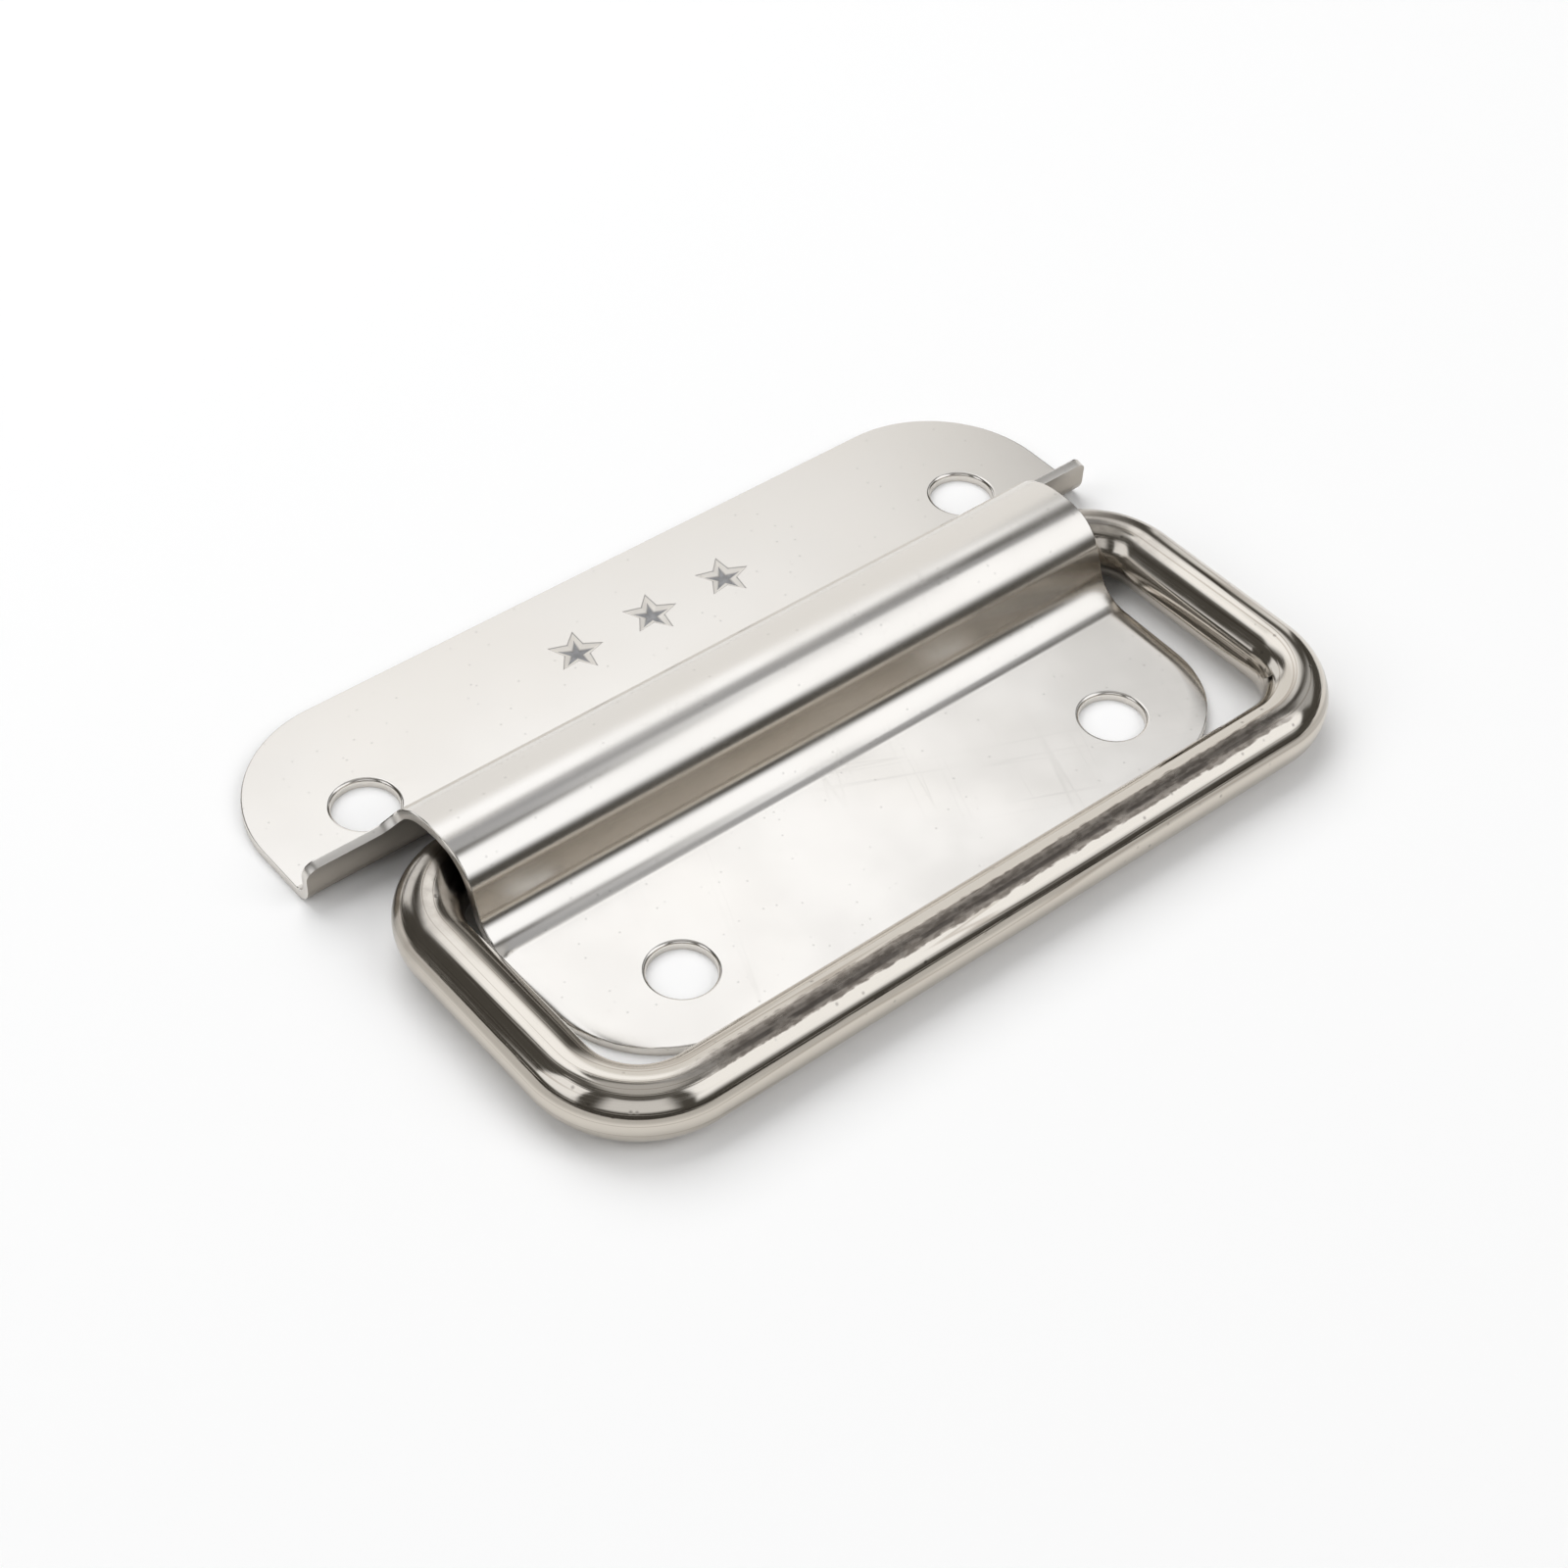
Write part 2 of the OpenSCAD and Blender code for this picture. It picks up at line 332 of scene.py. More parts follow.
rough = ramp(tree, clouds["Height"], 0.3, 0.7, 0.15, 0.21)
rough = calc(tree, "MULTIPLY_ADD", scratches, 0.04, rough)
rough = calc(tree, "MULTIPLY_ADD", sheared, 0.18, rough)
rough = calc(tree, "MULTIPLY_ADD", inner, 0.15, rough)
tree.links.new(calc(tree, "MULTIPLY_ADD", pressed, 0.38, rough), shader.inputs["Roughness"])

height = calc(tree, "MULTIPLY", clouds["Height"], 0.05)
height = calc(tree, "MULTIPLY_ADD", scratches, -0.02, height)
height = calc(tree, "MULTIPLY_ADD", specks, -0.2, height)
shear_marks = add(tree, "ShaderNodeTexNoise", {"Vector": here, "Scale": 2600.0, "Detail": 2.0})
shear_marks = calc(tree, "MULTIPLY", shear_marks.outputs[0], sheared)
height = calc(tree, "MULTIPLY_ADD", shear_marks, 1.5, height)
bump = add(tree, "ShaderNodeBump", {"Height": height, **skin})
tree.links.new(bump.outputs[0], shader.inputs["Normal"])
print(sheet_finish.name, len(tree.nodes), "nodes")

# %% [markdown]
# ## Wire finish
# The bail's wire was drawn through a die, so its marks run along it and follow each bend. The
# mesh carries a straightened position: how far along the wire a point lies, and where it sits on
# the round section. Noise that is read there runs round the corners with the metal, which plain
# Object coordinates can't do. Along the top of the grip the wire is stained where hands hold it,
# low on its outer side a dark line is painted as shade, for the shaded floor that it reflects, and
# the bends by the bead are rubbed and painted darker as shade from the bead.

# %% Wire finish
# where the grip begins and ends along the wire, and the leans of the marks on its round section
half_back = leg_x - bail_back_r - end_gap / 2
leg = pivot_y - grip_y - bail_back_r - bail_front_r
grip_from = half_back + pi / 2 * (bail_back_r + bail_front_r) + leg
grip_to = grip_from + 2 * (leg_x - bail_front_r)
wire_length = grip_to + grip_from
stain_lean, stain_half, border_lean, low_shade_lean = 10.0, 17.0, 15.5, 64.0
# the last two values bound the brown on the bends by the bead, which is partly rubbing and partly
# painted shade from the bead
stain_fade, border_fade, rub_shade_from, rub_shade_to = 4.0, 6.0, 20.0, 4.0
wire_steel, die_mark, stained = (0.63, 0.585, 0.52), (0.36, 0.31, 0.255), (0.24, 0.21, 0.18)
grain_dark, border_dark, pit_dark = (0.12, 0.10, 0.082), (0.07, 0.06, 0.052), (0.22, 0.20, 0.18)
# painted shade: the low line colour stands in for the shaded floor seen in the wire; the rub colour
# is partly shade from the bead
low_shade, rub_and_shade_brown = (0.32, 0.29, 0.25), (0.25, 0.22, 0.19)
wire_finish, tree, shader, here = finish("drawn_wire")
straight = add(tree, "ShaderNodeAttribute", attribute_name="along_wire").outputs["Vector"]
side = add(tree, "ShaderNodeSeparateXYZ", {0: straight}).outputs
draw_marks = place(tree, hairlines, straight, Scale=900.0, Stretch=70.0, Width=0.03)["Mask"]
fine_marks = place(tree, hairlines, straight, Scale=2200.0, Stretch=45.0, Width=0.05)["Mask"]
streaky = add(tree, "ShaderNodeMapping", {"Vector": straight, "Scale": (0.4, 1, 1)}).outputs[0]
grain = place(tree, unevenness, streaky, Scale=2600.0, Contrast=0.2)
drift = place(tree, unevenness, straight, Scale=240.0, Contrast=0.15)
specks = place(tree, pits, here, Scale=800.0, Size=0.2, Share=0.4)["Mask"]
# the stain lies along the grip, a little to the front of its top, with a ragged border
lean = calc(tree, "ARCTAN2", side[1], calc(tree, "MULTIPLY", side[2], -1.0))
off_middle = calc(tree, "ABSOLUTE", calc(tree, "ADD", lean, radians(stain_lean)))
ragged = calc(tree, "MULTIPLY_ADD", calc(tree, "SUBTRACT", drift["Height"], 0.5), 0.14, off_middle)
ragged = calc(tree, "MULTIPLY_ADD", calc(tree, "SUBTRACT", grain["Height"], 0.5), 0.15, ragged)
stain = ramp(tree, ragged, radians(stain_half + 2), radians(stain_half - 2))
for end, fade in ((grip_from, stain_fade), (grip_to, -stain_fade)):
    on_grip = ramp(tree, side[0], (end - fade) * mm, (end + fade) * mm)
    stain = calc(tree, "MULTIPLY", stain, on_grip)
bare = place(tree, hairlines, straight, Scale=420.0, Stretch=150.0, Width=0.035)["Mask"]
stain = calc(tree, "MULTIPLY", stain, ramp(tree, bare, 0.2, 1.0, 1.0, 0.45))
grainy = calc(tree, "MULTIPLY", stain, ramp(tree, grain["Height"], 0.58, 0.40))
off_border = calc(tree, "ABSOLUTE", calc(tree, "ADD", lean, radians(border_lean)))
border = ramp(tree, off_border, radians(5.5), radians(2))
border = calc(tree, "MULTIPLY", border, ramp(tree, drift["Height"], 0.35, 0.5))
for end, fade in ((grip_from, border_fade), (grip_to, -border_fade)):
    border = calc(tree, "MULTIPLY", border, ramp(tree, side[0], end * mm, (end + fade) * mm))

colour = tint(tree, calc(tree, "MULTIPLY", draw_marks, 0.6), wire_steel, die_mark)
colour = tint(tree, calc(tree, "MULTIPLY", stain, 0.9), colour, stained)
colour = tint(tree, calc(tree, "MULTIPLY", grainy, 0.55), colour, grain_dark)
colour = tint(tree, calc(tree, "MULTIPLY", border, 0.75), colour, border_dark)
colour = tint(tree, calc(tree, "MULTIPLY", specks, 0.7), colour, pit_dark)
# painted shade: low on the outer side a dark line stands in for the reflection of the floor where
# the wire shades it
off_low = calc(tree, "ABSOLUTE", calc(tree, "ADD", lean, radians(low_shade_lean)))
low_shade_line = ramp(tree, off_low, radians(11), radians(4))
colour = tint(tree, calc(tree, "MULTIPLY", low_shade_line, 0.6), colour, low_shade)
# the bends by the bead are dull and brownish where they rub, and painted darker as shade, since the
# bead shades them and shows dark in them
from_end = calc(tree, "MINIMUM", side[0], calc(tree, "SUBTRACT", wire_length * mm, side[0]))
rub_and_shade = ramp(tree, from_end, (half_back + rub_shade_from) * mm, (half_back + rub_shade_to) * mm)
blotches = place(tree, unevenness, here, Scale=420.0, Contrast=0.2)["Patches"]
rub_and_shade = calc(tree, "MULTIPLY", rub_and_shade, ramp(tree, blotches, 0.0, 1.0, 0.45, 1.0))
colour = tint(tree, calc(tree, "MULTIPLY", rub_and_shade, 0.6), colour, rub_and_shade_brown)
tree.links.new(colour, shader.inputs["Base Color"])

rough = ramp(tree, drift["Height"], 0.3, 0.7, 0.06, 0.11)
rough = calc(tree, "MULTIPLY_ADD", fine_marks, 0.06, rough)
rough = calc(tree, "MULTIPLY_ADD", rub_and_shade, 0.10, rough)
tree.links.new(calc(tree, "MULTIPLY_ADD", stain, 0.2, rough), shader.inputs["Roughness"])

height = calc(tree, "MULTIPLY", draw_marks, -0.35)
height = calc(tree, "MULTIPLY_ADD", fine_marks, -0.15, height)
height = calc(tree, "MULTIPLY_ADD", specks, -0.8, height)
height = calc(tree, "MULTIPLY_ADD", calc(tree, "MULTIPLY", grain["Height"], stain), 2.5, height)
bump = add(tree, "ShaderNodeBump", {"Height": height, **skin})
tree.links.new(bump.outputs[0], shader.inputs["Normal"])
print(wire_finish.name, len(tree.nodes), "nodes")

# %% [markdown]
# ## The plate's section
# Seen from its end, the plate is one line: back flange, a tight bend, the upright wall, the two
# shoulders of the bead with the crest between them, and the foot that runs out into the front
# flange. It is drawn here as the middle line of the sheet, from the back edge to the front edge.
# Each point keeps the length of sheet used up so far, which is where the flat blank is creased.

# %% Middle line of the sheet
arc_steps = 24


def section_line(steps):
    """Points of the middle line in Y and Z, and the sheet's upward normal at each of them."""
    half = sheet_t / 2
    wall = sheet_t - wall_y
    bend = Vector((wall + bend_r, sheet_t + bend_r))
    crown = Vector((pivot_y + crown_shift, crest_h - crown_r))
    # each shoulder touches the crown's circle from inside, at its own lean from the upright
    back_reach, front_reach = crown_r - back_shoulder_r, crown_r - front_shoulder_r
    back_lean = asin((wall - back_shoulder_r - crown.x) / back_reach)
    front_lean = asin((crown.x - flank_y - front_shoulder_r) / front_reach)
    back = crown + back_reach * Vector((sin(back_lean), cos(back_lean)))
    front = crown + front_reach * Vector((-sin(front_lean), cos(front_lean)))
    # the straight flank leads from the front shoulder down to the foot
    slope = radians(flank_slope)
    fall = front.y + front_shoulder_r * cos(slope) - sheet_t - foot_r * (1 - cos(slope))
    run = front_shoulder_r * sin(slope) + fall / tan(slope) + foot_r * sin(slope)
    foot = Vector((front.x - run, sheet_t + foot_r))
    upright = pi / 2
    arcs = [(bend, bend_r + half, -upright, -pi),
            (back, back_shoulder_r - half, 0, upright - back_lean),
            (crown, crown_r - half, upright - back_lean, upright + front_lean),
            (front, front_shoulder_r - half, upright + front_lean, upright + slope),
            (foot, foot_r + half, slope - upright, -upright)]
    line, normals = [(back_margin, half)], [(0, 1)]
    for middle, radius, start, end in arcs:
        facing = 1 if end > start else -1
        for i in range(steps + 1):
            angle = start + (end - start) * i / steps
            out = Vector((cos(angle), sin(angle)))
            line.append(tuple(middle + radius * out))
            normals.append(tuple(facing * out))
    return line + [(front_edge_y, half)], np.array(normals + [(0, 1)])


section, section_normals = section_line(arc_steps)
used = [0.0]
for one, two in zip(section, section[1:]):
    used.append(used[-1] + (Vector(two) - Vector(one)).length)
blank_length = used[-1]


def blank_s(y):
    """Length of sheet used up where a flat flange passes y."""
    for i, (one, two) in enumerate(zip(section, section[1:])):
        if one[0] >= y >= two[0] and max(one[1], two[1]) <= sheet_t:
            return used[i] + one[0] - y


stop_s = next(s + (stop_h - one[1]) for s, one, two in zip(used, section, section[1:])
              if one[1] <= stop_h < two[1])
print(f"blank {back_w:.1f} x {blank_length:.1f} mm, stop walls end at {stop_s:.2f} mm")

# %% [markdown]
# ## Punching the blank
# Four screw holes with rolled rims and a row of stars are punched while the sheet is still flat.
# Such repeats are Geometry Nodes work: a few circles or star curves are instanced on points, and
# the tree gives back their outlines. The stars are pressed with a tapered punch, so each outline
# is extruded inwards to the edge of its floor, which also draws the creases between its facets.

# %% Outlines of the holes and stars
def rolled(radius, steps):
    """Distances from a rolled edge at which the sheet gets a ring of points."""
    return [radius * (1 - cos(pi / 2 * i / steps)) for i in range(steps + 1)]


hole_sides, star_points = 72, 5
hole_rows = ((back_pitch, blank_s(0.0)), (front_pitch, blank_s(-row_gap)))
tree, given, result = geometry_tree(
    "punch_layout", Hole_Radius="Float", Star_Radius="Float", Star_Waist="Float",
    Star_Pitch="Float", Star_Floor="Float", Star_Count="Int", Star_Place="Float", Finish="Material")
join_rings = tree.nodes.new("GeometryNodeJoinGeometry")
for away_from_edge in rolled(rim_r, 4):
    radius = calc(tree, "ADD", given.outputs["Hole Radius"], away_from_edge)
    circle = {"Resolution": hole_sides, "Radius": radius}
    ring = add(tree, "GeometryNodeCurvePrimitiveCircle", circle)
    tree.links.new(ring.outputs[0], join_rings.inputs[0])
join_rows = tree.nodes.new("GeometryNodeJoinGeometry")
for pitch, s in hole_rows:
    ends = {"Count": 2, "Start Location": (-pitch / 2, s, 0), "Offset": (pitch / 2, s, 0)}
    row = add(tree, "GeometryNodeMeshLine", ends, mode="END_POINTS")
    tree.links.new(row.outputs[0], join_rows.inputs[0])
holes = add(tree, "GeometryNodeInstanceOnPoints",
            {"Points": join_rows.outputs[0], "Instance": join_rings.outputs[0]})
holes = add(tree, "GeometryNodeRealizeInstances", {0: holes.outputs[0]})
hole_lines = add(tree, "GeometryNodeCurveToMesh", {0: holes.outputs[0]})

star = add(tree, "GeometryNodeCurveStar",
           {"Points": star_points, "Inner Radius": given.outputs["Star Waist"],
            "Outer Radius": given.outputs["Star Radius"]})
star_lines = add(tree, "GeometryNodeCurveToMesh", {0: star.outputs[0]})
spot = tree.nodes.new("GeometryNodeInputPosition").outputs[0]
inwards = add(tree, "ShaderNodeVectorMath", {0: spot}, operation="SCALE")
tree.links.new(calc(tree, "SUBTRACT", given.outputs["Star Floor"], 1.0), inwards.inputs["Scale"])
facets = add(tree, "GeometryNodeExtrudeMesh",
             {"Mesh": star_lines.outputs[0], "Offset": inwards.outputs[0]}, mode="EDGES")
step = add(tree, "ShaderNodeCombineXYZ", {0: given.outputs["Star Pitch"]}).outputs[0]
half_row = calc(tree, "MULTIPLY", calc(tree, "SUBTRACT", given.outputs["Star Count"], 1.0), -0.5)
first_x = calc(tree, "MULTIPLY", half_row, given.outputs["Star Pitch"])
first = add(tree, "ShaderNodeCombineXYZ", {0: first_x, 1: given.outputs["Star Place"]}).outputs[0]
star_row = add(tree, "GeometryNodeMeshLine",
               {"Count": given.outputs["Star Count"], "Start Location": first, "Offset": step})
# each blow of the punch is turned a little less than the one before
index = tree.nodes.new("GeometryNodeInputIndex").outputs[0]
slant = calc(tree, "MULTIPLY_ADD", index, radians(star_slant_step), radians(star_slant))
slant = add(tree, "ShaderNodeCombineXYZ", {2: slant}).outputs[0]
stars = add(tree, "GeometryNodeInstanceOnPoints",
            {"Points": star_row.outputs[0], "Instance": facets.outputs[0], "Rotation": slant})
everything = tree.nodes.new("GeometryNodeJoinGeometry")
for part in (hole_lines, stars):
    tree.links.new(part.outputs[0], everything.inputs[0])
whole = add(tree, "GeometryNodeRealizeInstances", {0: everything.outputs[0]})
dressed = add(tree, "GeometryNodeSetMaterial",
              {0: whole.outputs[0], "Material": given.outputs["Finish"]})
tree.links.new(dressed.outputs[0], result.inputs[0])

layout = grow(tree, bpy.data.meshes.new("bare"), "punch_layout", Hole_Radius=hole_r,
              Star_Radius=star_r, Star_Waist=star_waist_r, Star_Pitch=star_pitch,
              Star_Floor=star_floor, Star_Count=star_count, Star_Place=blank_s(star_y),
              Finish=sheet_finish)
print("punch layout", len(layout.vertices), "points", len(layout.edges), "lines")

# %% [markdown]
# ## Cutting the blank
# The blank's edge is a chain of straight runs and quarter circles. A constrained triangulation
# fills it: the edge, the holes, the stars and the crease lines all become edges of the mesh. A
# Boolean could cut the holes instead, but it leaves ragged faces that a mirror finish would show.

# %% Edge of the blank
corner_steps = 24


def rounded(corners, steps):
    """Closed outline through square corners, each (x, s, radius), rounded by quarter circles."""
    points = []
    for i, (x, s, radius) in enumerate(corners):
        here, before = Vector((x, s)), Vector(corners[i - 1][:2])
        after = Vector(corners[(i + 1) % len(corners)][:2])
        into, out = (here - before).normalized(), (after - here).normalized()
        for k in range(steps + 1):
            a = pi / 2 * k / steps
            points.append(here + radius * ((1 - cos(a)) * out - (1 - sin(a)) * into))
    return points


def blank_edge(inset):
    """The blank's outline, moved inwards by inset."""
    back_x, bead_x = back_w / 2 - inset, front_w / 2 - inset
    half = [(back_x, inset, back_corner_r - inset),
            (back_x, stop_s - inset, stop_corner_r - inset),
            (bead_x, stop_s - inset, stop_fillet_r + inset),
            (bead_x, blank_length - inset, front_corner_r - inset)]
    return rounded(half + [(-x, s, r) for x, s, r in reversed(half)], corner_steps)


outline = np.array(blank_edge(0.0))
print("blank edge", len(outline), "points")

# %% Triangulate the blank
points, lines = [], []


def draw(new_points, new_lines):
    """Adds points and the lines between them to the drawing that is triangulated."""
    first = len(points)
    points.extend(Vector(p[:2]) for p in new_points)
    lines.extend((first + a, first + b) for a, b in new_lines)


for inset in rolled(edge_roll, 2):
    ring = blank_edge(inset)
    draw(ring, [(i, (i + 1) % len(ring)) for i in range(len(ring))])
draw([v.co for v in layout.vertices], [tuple(e.vertices) for e in layout.edges])
# the drawn-down sides start in the middle of the foot's arc and run round the front corners
roll_from, corner_from = used[-2 - arc_steps // 2], blank_length - front_corner_r
middle_x = front_w / 2 - front_corner_r
turns = [pi / 2 * k / corner_steps for k in range(corner_steps + 1)]
for share in (0.08, 0.2, 0.38, 0.6, 0.8, 1.0):
    r = front_corner_r - share * side_roll_w
    ring = [(middle_x + r, roll_from)]
    ring += [(middle_x + r * cos(a), corner_from + r * sin(a)) for a in turns]
    for hand in (-1, 1):
        draw([(hand * x, s) for x, s in ring], [(i, i + 1) for i in range(len(ring) - 1)])
for s in used[1:-1]:
    half = (back_w if s < stop_s else front_w) / 2
    draw([(-half, s), (half, s)], [(0, 1)])
# lines across the creases keep the triangles short
line_gap, tolerance = 6.0, 1e-5
for k in range(-7, 8):
    x = line_gap * k
    draw([(x, 0), (x, stop_s if abs(x) > front_w / 2 else blank_length)], [(0, 1)])
flat, _, cells, _, _, _ = delaunay_2d_cdt(points, lines, [], 0, tolerance)
flat, cells = np.array(flat), np.array(cells)
print("triangulated", len(flat), "points", len(cells), "triangles")

# %% [markdown]
# The triangulation also fills the holes and the hollows of the outline, so triangles whose
# middle lies outside the sheet are dropped. Then each point gets its drop below the sheet's
# face: the rolled edges, the drawn-down sides, the rims of the holes, and the hollows of the stars.

# %% Keep the sheet and press it
def inside(place, ring):
    """True for each place inside the closed ring, by counting crossings."""
    x, y = place[:, 0], place[:, 1]
    crossed = np.zeros(len(place), bool)
    for (x1, y1), (x2, y2) in zip(ring, np.roll(ring, -1, 0)):
        if y1 != y2:
            crossed ^= ((y1 > y) != (y2 > y)) & (x < (x2 - x1) * (y - y1) / (y2 - y1) + x1)
    return crossed


def edge_distance(place, ring):
    """Distance of each place from the closed ring."""
    nearest = np.full(len(place), np.inf)
    for one, two in zip(ring, np.roll(ring, -1, 0)):
        run = two - one
        share = np.clip((place - one) @ run / (run @ run), 0, 1)
        away = np.linalg.norm(place - one - share[:, None] * run, axis=1)
        nearest = np.minimum(nearest, away)
    return nearest


def roll_drop(away_from_edge, radius):
    """Drop of a rolled edge at this distance from it."""
    left = np.clip(1 - away_from_edge / radius, 0, 1)
    return radius * (1 - np.sqrt(1 - left**2))


def star_share(place, i):
    """0 at the middle of star i, 1 on its outline and more outside it."""
    middle = np.array([(i - (star_count - 1) / 2) * star_pitch, blank_s(star_y)])
    off = place - middle
    sector = pi / star_points
    slant = radians(star_slant + star_slant_step * i)
    angle = (np.arctan2(off[:, 1], off[:, 0]) - slant) % (2 * sector)
    angle = np.minimum(angle, 2 * sector - angle)
    edge = star_r * star_waist_r * sin(sector) / (
        star_r * np.sin(angle) + star_waist_r * np.sin(sector - angle))
    return np.linalg.norm(off, axis=1) / edge


screws = [(hand * pitch / 2, s) for pitch, s in hole_rows for hand in (-1, 1)]
middles = flat[cells].mean(1)
keep = inside(middles, outline)
for screw in screws:
    keep &= np.linalg.norm(middles - screw, axis=1) > hole_r * cos(pi / hole_sides)
cells, middles = cells[keep], middles[keep]

off_edge = edge_distance(flat, outline)
drop = roll_drop(off_edge, edge_roll)
rolled_down = np.clip((flat[:, 1] - roll_from) / side_roll_start, 0, 1)
rolled_down *= np.clip((blank_length - side_roll_end - flat[:, 1]) / side_roll_stop, 0, 1)
side_drop = rolled_down * roll_drop(off_edge, side_roll_w) * side_roll_h / side_roll_w
drop = np.maximum(drop, side_drop)
for screw in screws:
    drop = np.maximum(drop, roll_drop(np.linalg.norm(flat - screw, axis=1) - hole_r, rim_r))
star_drop = np.zeros(len(flat))
for i in range(star_count):
    sunk = np.clip((1 - star_share(flat, i)) / (1 - star_floor), 0, 1)
    star_drop = np.maximum(star_drop, star_depth * sunk)
drop = np.maximum(drop, star_drop)
in_star = np.min([star_share(middles, i) for i in range(star_count)], axis=0)
floors = in_star < star_floor
print(len(cells), "triangles kept,", floors.sum(), "in star floors")

# %% Blank with its thickness
count = len(flat)
half = np.full(count, sheet_t / 2)
skin_points = [np.column_stack([flat, half - drop]), np.column_stack([flat, -half])]
skin_points = np.concatenate(skin_points) * mm
# the fold turns the blank over its long edge, so its triangles are wound the other way round
tops = cells[:, ::-1].tolist()
owners = {}
for a, b, c in tops:
    for one, two in ((a, b), (b, c), (c, a)):
        owners.setdefault(frozenset((one, two)), []).append((one, two))
rims = [pair[0] for pair in owners.values() if len(pair) == 1]
walls = [(a, a + count, b + count, b) for a, b in rims]
faces = tops + [(c + count, b + count, a + count) for a, b, c in tops] + walls

blank = bpy.data.meshes.new("blank")
blank.from_pydata(skin_points.tolist(), [], faces)
rest = [0.0] * (len(tops) + len(walls))
marks = {"sheared": [0.0] * (2 * len(tops)) + [1.0] * len(walls),
         "inner_face": [0.0] * len(tops) + [1.0] * len(tops) + [0.0] * len(walls),
         "pressed": (in_star < 1).astype(float).tolist() + rest,
         "struck": floors.astype(float).tolist() + rest}
for name, values in marks.items():
    blank.attributes.new(name, "FLOAT", "FACE").data.foreach_set("value", values)
punched = np.concatenate([np.clip(star_drop / star_depth, 0, 1), np.zeros(count)])
punch_depth = blank.attributes.new("punch_depth", "FLOAT", "POINT")
punch_depth.data.foreach_set("value", punched.tolist())
print("blank", len(faces), "faces,", len(walls), "of them on sheared edges")

# %% [markdown]
# ## Folding the plate
# The flat blank is now bent over the section line, as the press tool does it. In the tree, each
# point's distance along the blank picks a place on that line, its height moves it off the line
# along the line's normal, and its X stays. A Curve modifier would do much the same, but it turns
# the cross direction with the path, and this tree keeps the sheet exactly square.

# %% Section line as a curve
def poly_curve(name, line):
    """A curve object through these points, given in metres."""
    curve = bpy.data.curves.new(name, "CURVE")
    curve.dimensions = "3D"
    spline = curve.splines.new("POLY")
    spline.points.add(len(line) - 1)
    for point, place in zip(spline.points, line):
        point.co = (*place, 1)
    path = bpy.data.objects.new(name, curve)
    scene.collection.objects.link(path)
    return path


section_curve = poly_curve("section_line", [(0, y * mm, z * mm) for y, z in section])
print("section line", len(section), "points")

# %% Fold the blank over it
tree, given, result = geometry_tree("fold_over_line", Line="Object", Finish="Material")
spot = tree.nodes.new("GeometryNodeInputPosition").outputs[0]
spot = add(tree, "ShaderNodeSeparateXYZ", {0: spot}).outputs
line = add(tree, "GeometryNodeObjectInfo", {0: given.outputs["Line"]}).outputs["Geometry"]
on_line = add(tree, "GeometryNodeSampleCurve", {"Curves": line, "Length": spot[1]},
              mode="LENGTH", use_all_curves=True)
normal = add(tree, "ShaderNodeVectorMath", {0: on_line.outputs["Tangent"], 1: (1, 0, 0)},
             operation="CROSS_PRODUCT")
offset = add(tree, "ShaderNodeVectorMath", {0: normal.outputs[0]}, operation="SCALE")
tree.links.new(spot[2], offset.inputs["Scale"])
folded = add(tree, "ShaderNodeVectorMath", {0: on_line.outputs["Position"], 1: offset.outputs[0]},
             operation="ADD")
across = add(tree, "ShaderNodeCombineXYZ", {0: spot[0]}).outputs[0]
folded = add(tree, "ShaderNodeVectorMath", {0: folded.outputs[0], 1: across}, operation="ADD")
bent = add(tree, "GeometryNodeSetPosition",
           {"Geometry": given.outputs[0], "Position": folded.outputs[0]})
whole = add(tree, "GeometryNodeRealizeInstances", {0: bent.outputs[0]})
dressed = add(tree, "GeometryNodeSetMaterial",
              {0: whole.outputs[0], "Material": given.outputs["Finish"]})
tree.links.new(dressed.outputs[0], result.inputs[0])

plate_mesh = grow(tree, blank, "plate_sheet", Line=section_curve, Finish=sheet_finish)
bpy.data.objects.remove(section_curve)
plate = polished(plate_mesh, crease=28)
print("folded", len(plate_mesh.vertices), "points")

# %% [markdown]
# A mirror shows every fault of its normals. Plain smooth shading lets the tiny faces of a rolled
# edge tilt the normals of the wide face next to it. The section line knows the true normal at
# every crease, so each corner that isn't on a rolled edge or in a star takes it from there.

# %% True normals for the mirror
normals = np.array([corner.vector for corner in plate_mesh.corner_normals])
corner_point = np.array([corner.vertex_index for corner in plate_mesh.loops])
corner_face = np.repeat(np.arange(len(faces)), [len(face) for face in faces])
untouched = 1e-4
upward_y, upward_z = (np.interp(flat[:, 1], used, part) for part in section_normals.T)
upward = np.column_stack([np.zeros(count), upward_y, upward_z])
upward /= np.linalg.norm(upward, axis=1)[:, None]
on_top = corner_face < len(tops)
underneath = ~on_top & (corner_face < 2 * len(tops))
true_top = on_top & (drop[corner_point % count] < untouched)
true_top[on_top] &= (in_star > 1)[corner_face[on_top]]
normals[true_top] = upward[corner_point[true_top] % count]
normals[underneath] = -upward[corner_point[underneath] % count]
plate_mesh.normals_split_custom_set(normals.tolist())
print(true_top.sum() + underneath.sum(), "of", len(normals), "corners take the section's normal")

# %% Seat the plate
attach(plate, "plate")
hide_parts("mounting_plate")
print("plate", len(plate_mesh.polygons), "faces")

# %% [markdown]
# ## The bail
# The bail is a round wire bent into a rounded rectangle, with its two ends butted in the bead.
# Its centre line is six points, and each corner keeps its own bend radius as an attribute. The
# tree fillets the corners, sweeps a circle along the line, and stores the straightened position
# that the wire finish reads. A bevelled curve object would sweep too, but keeps no such record.

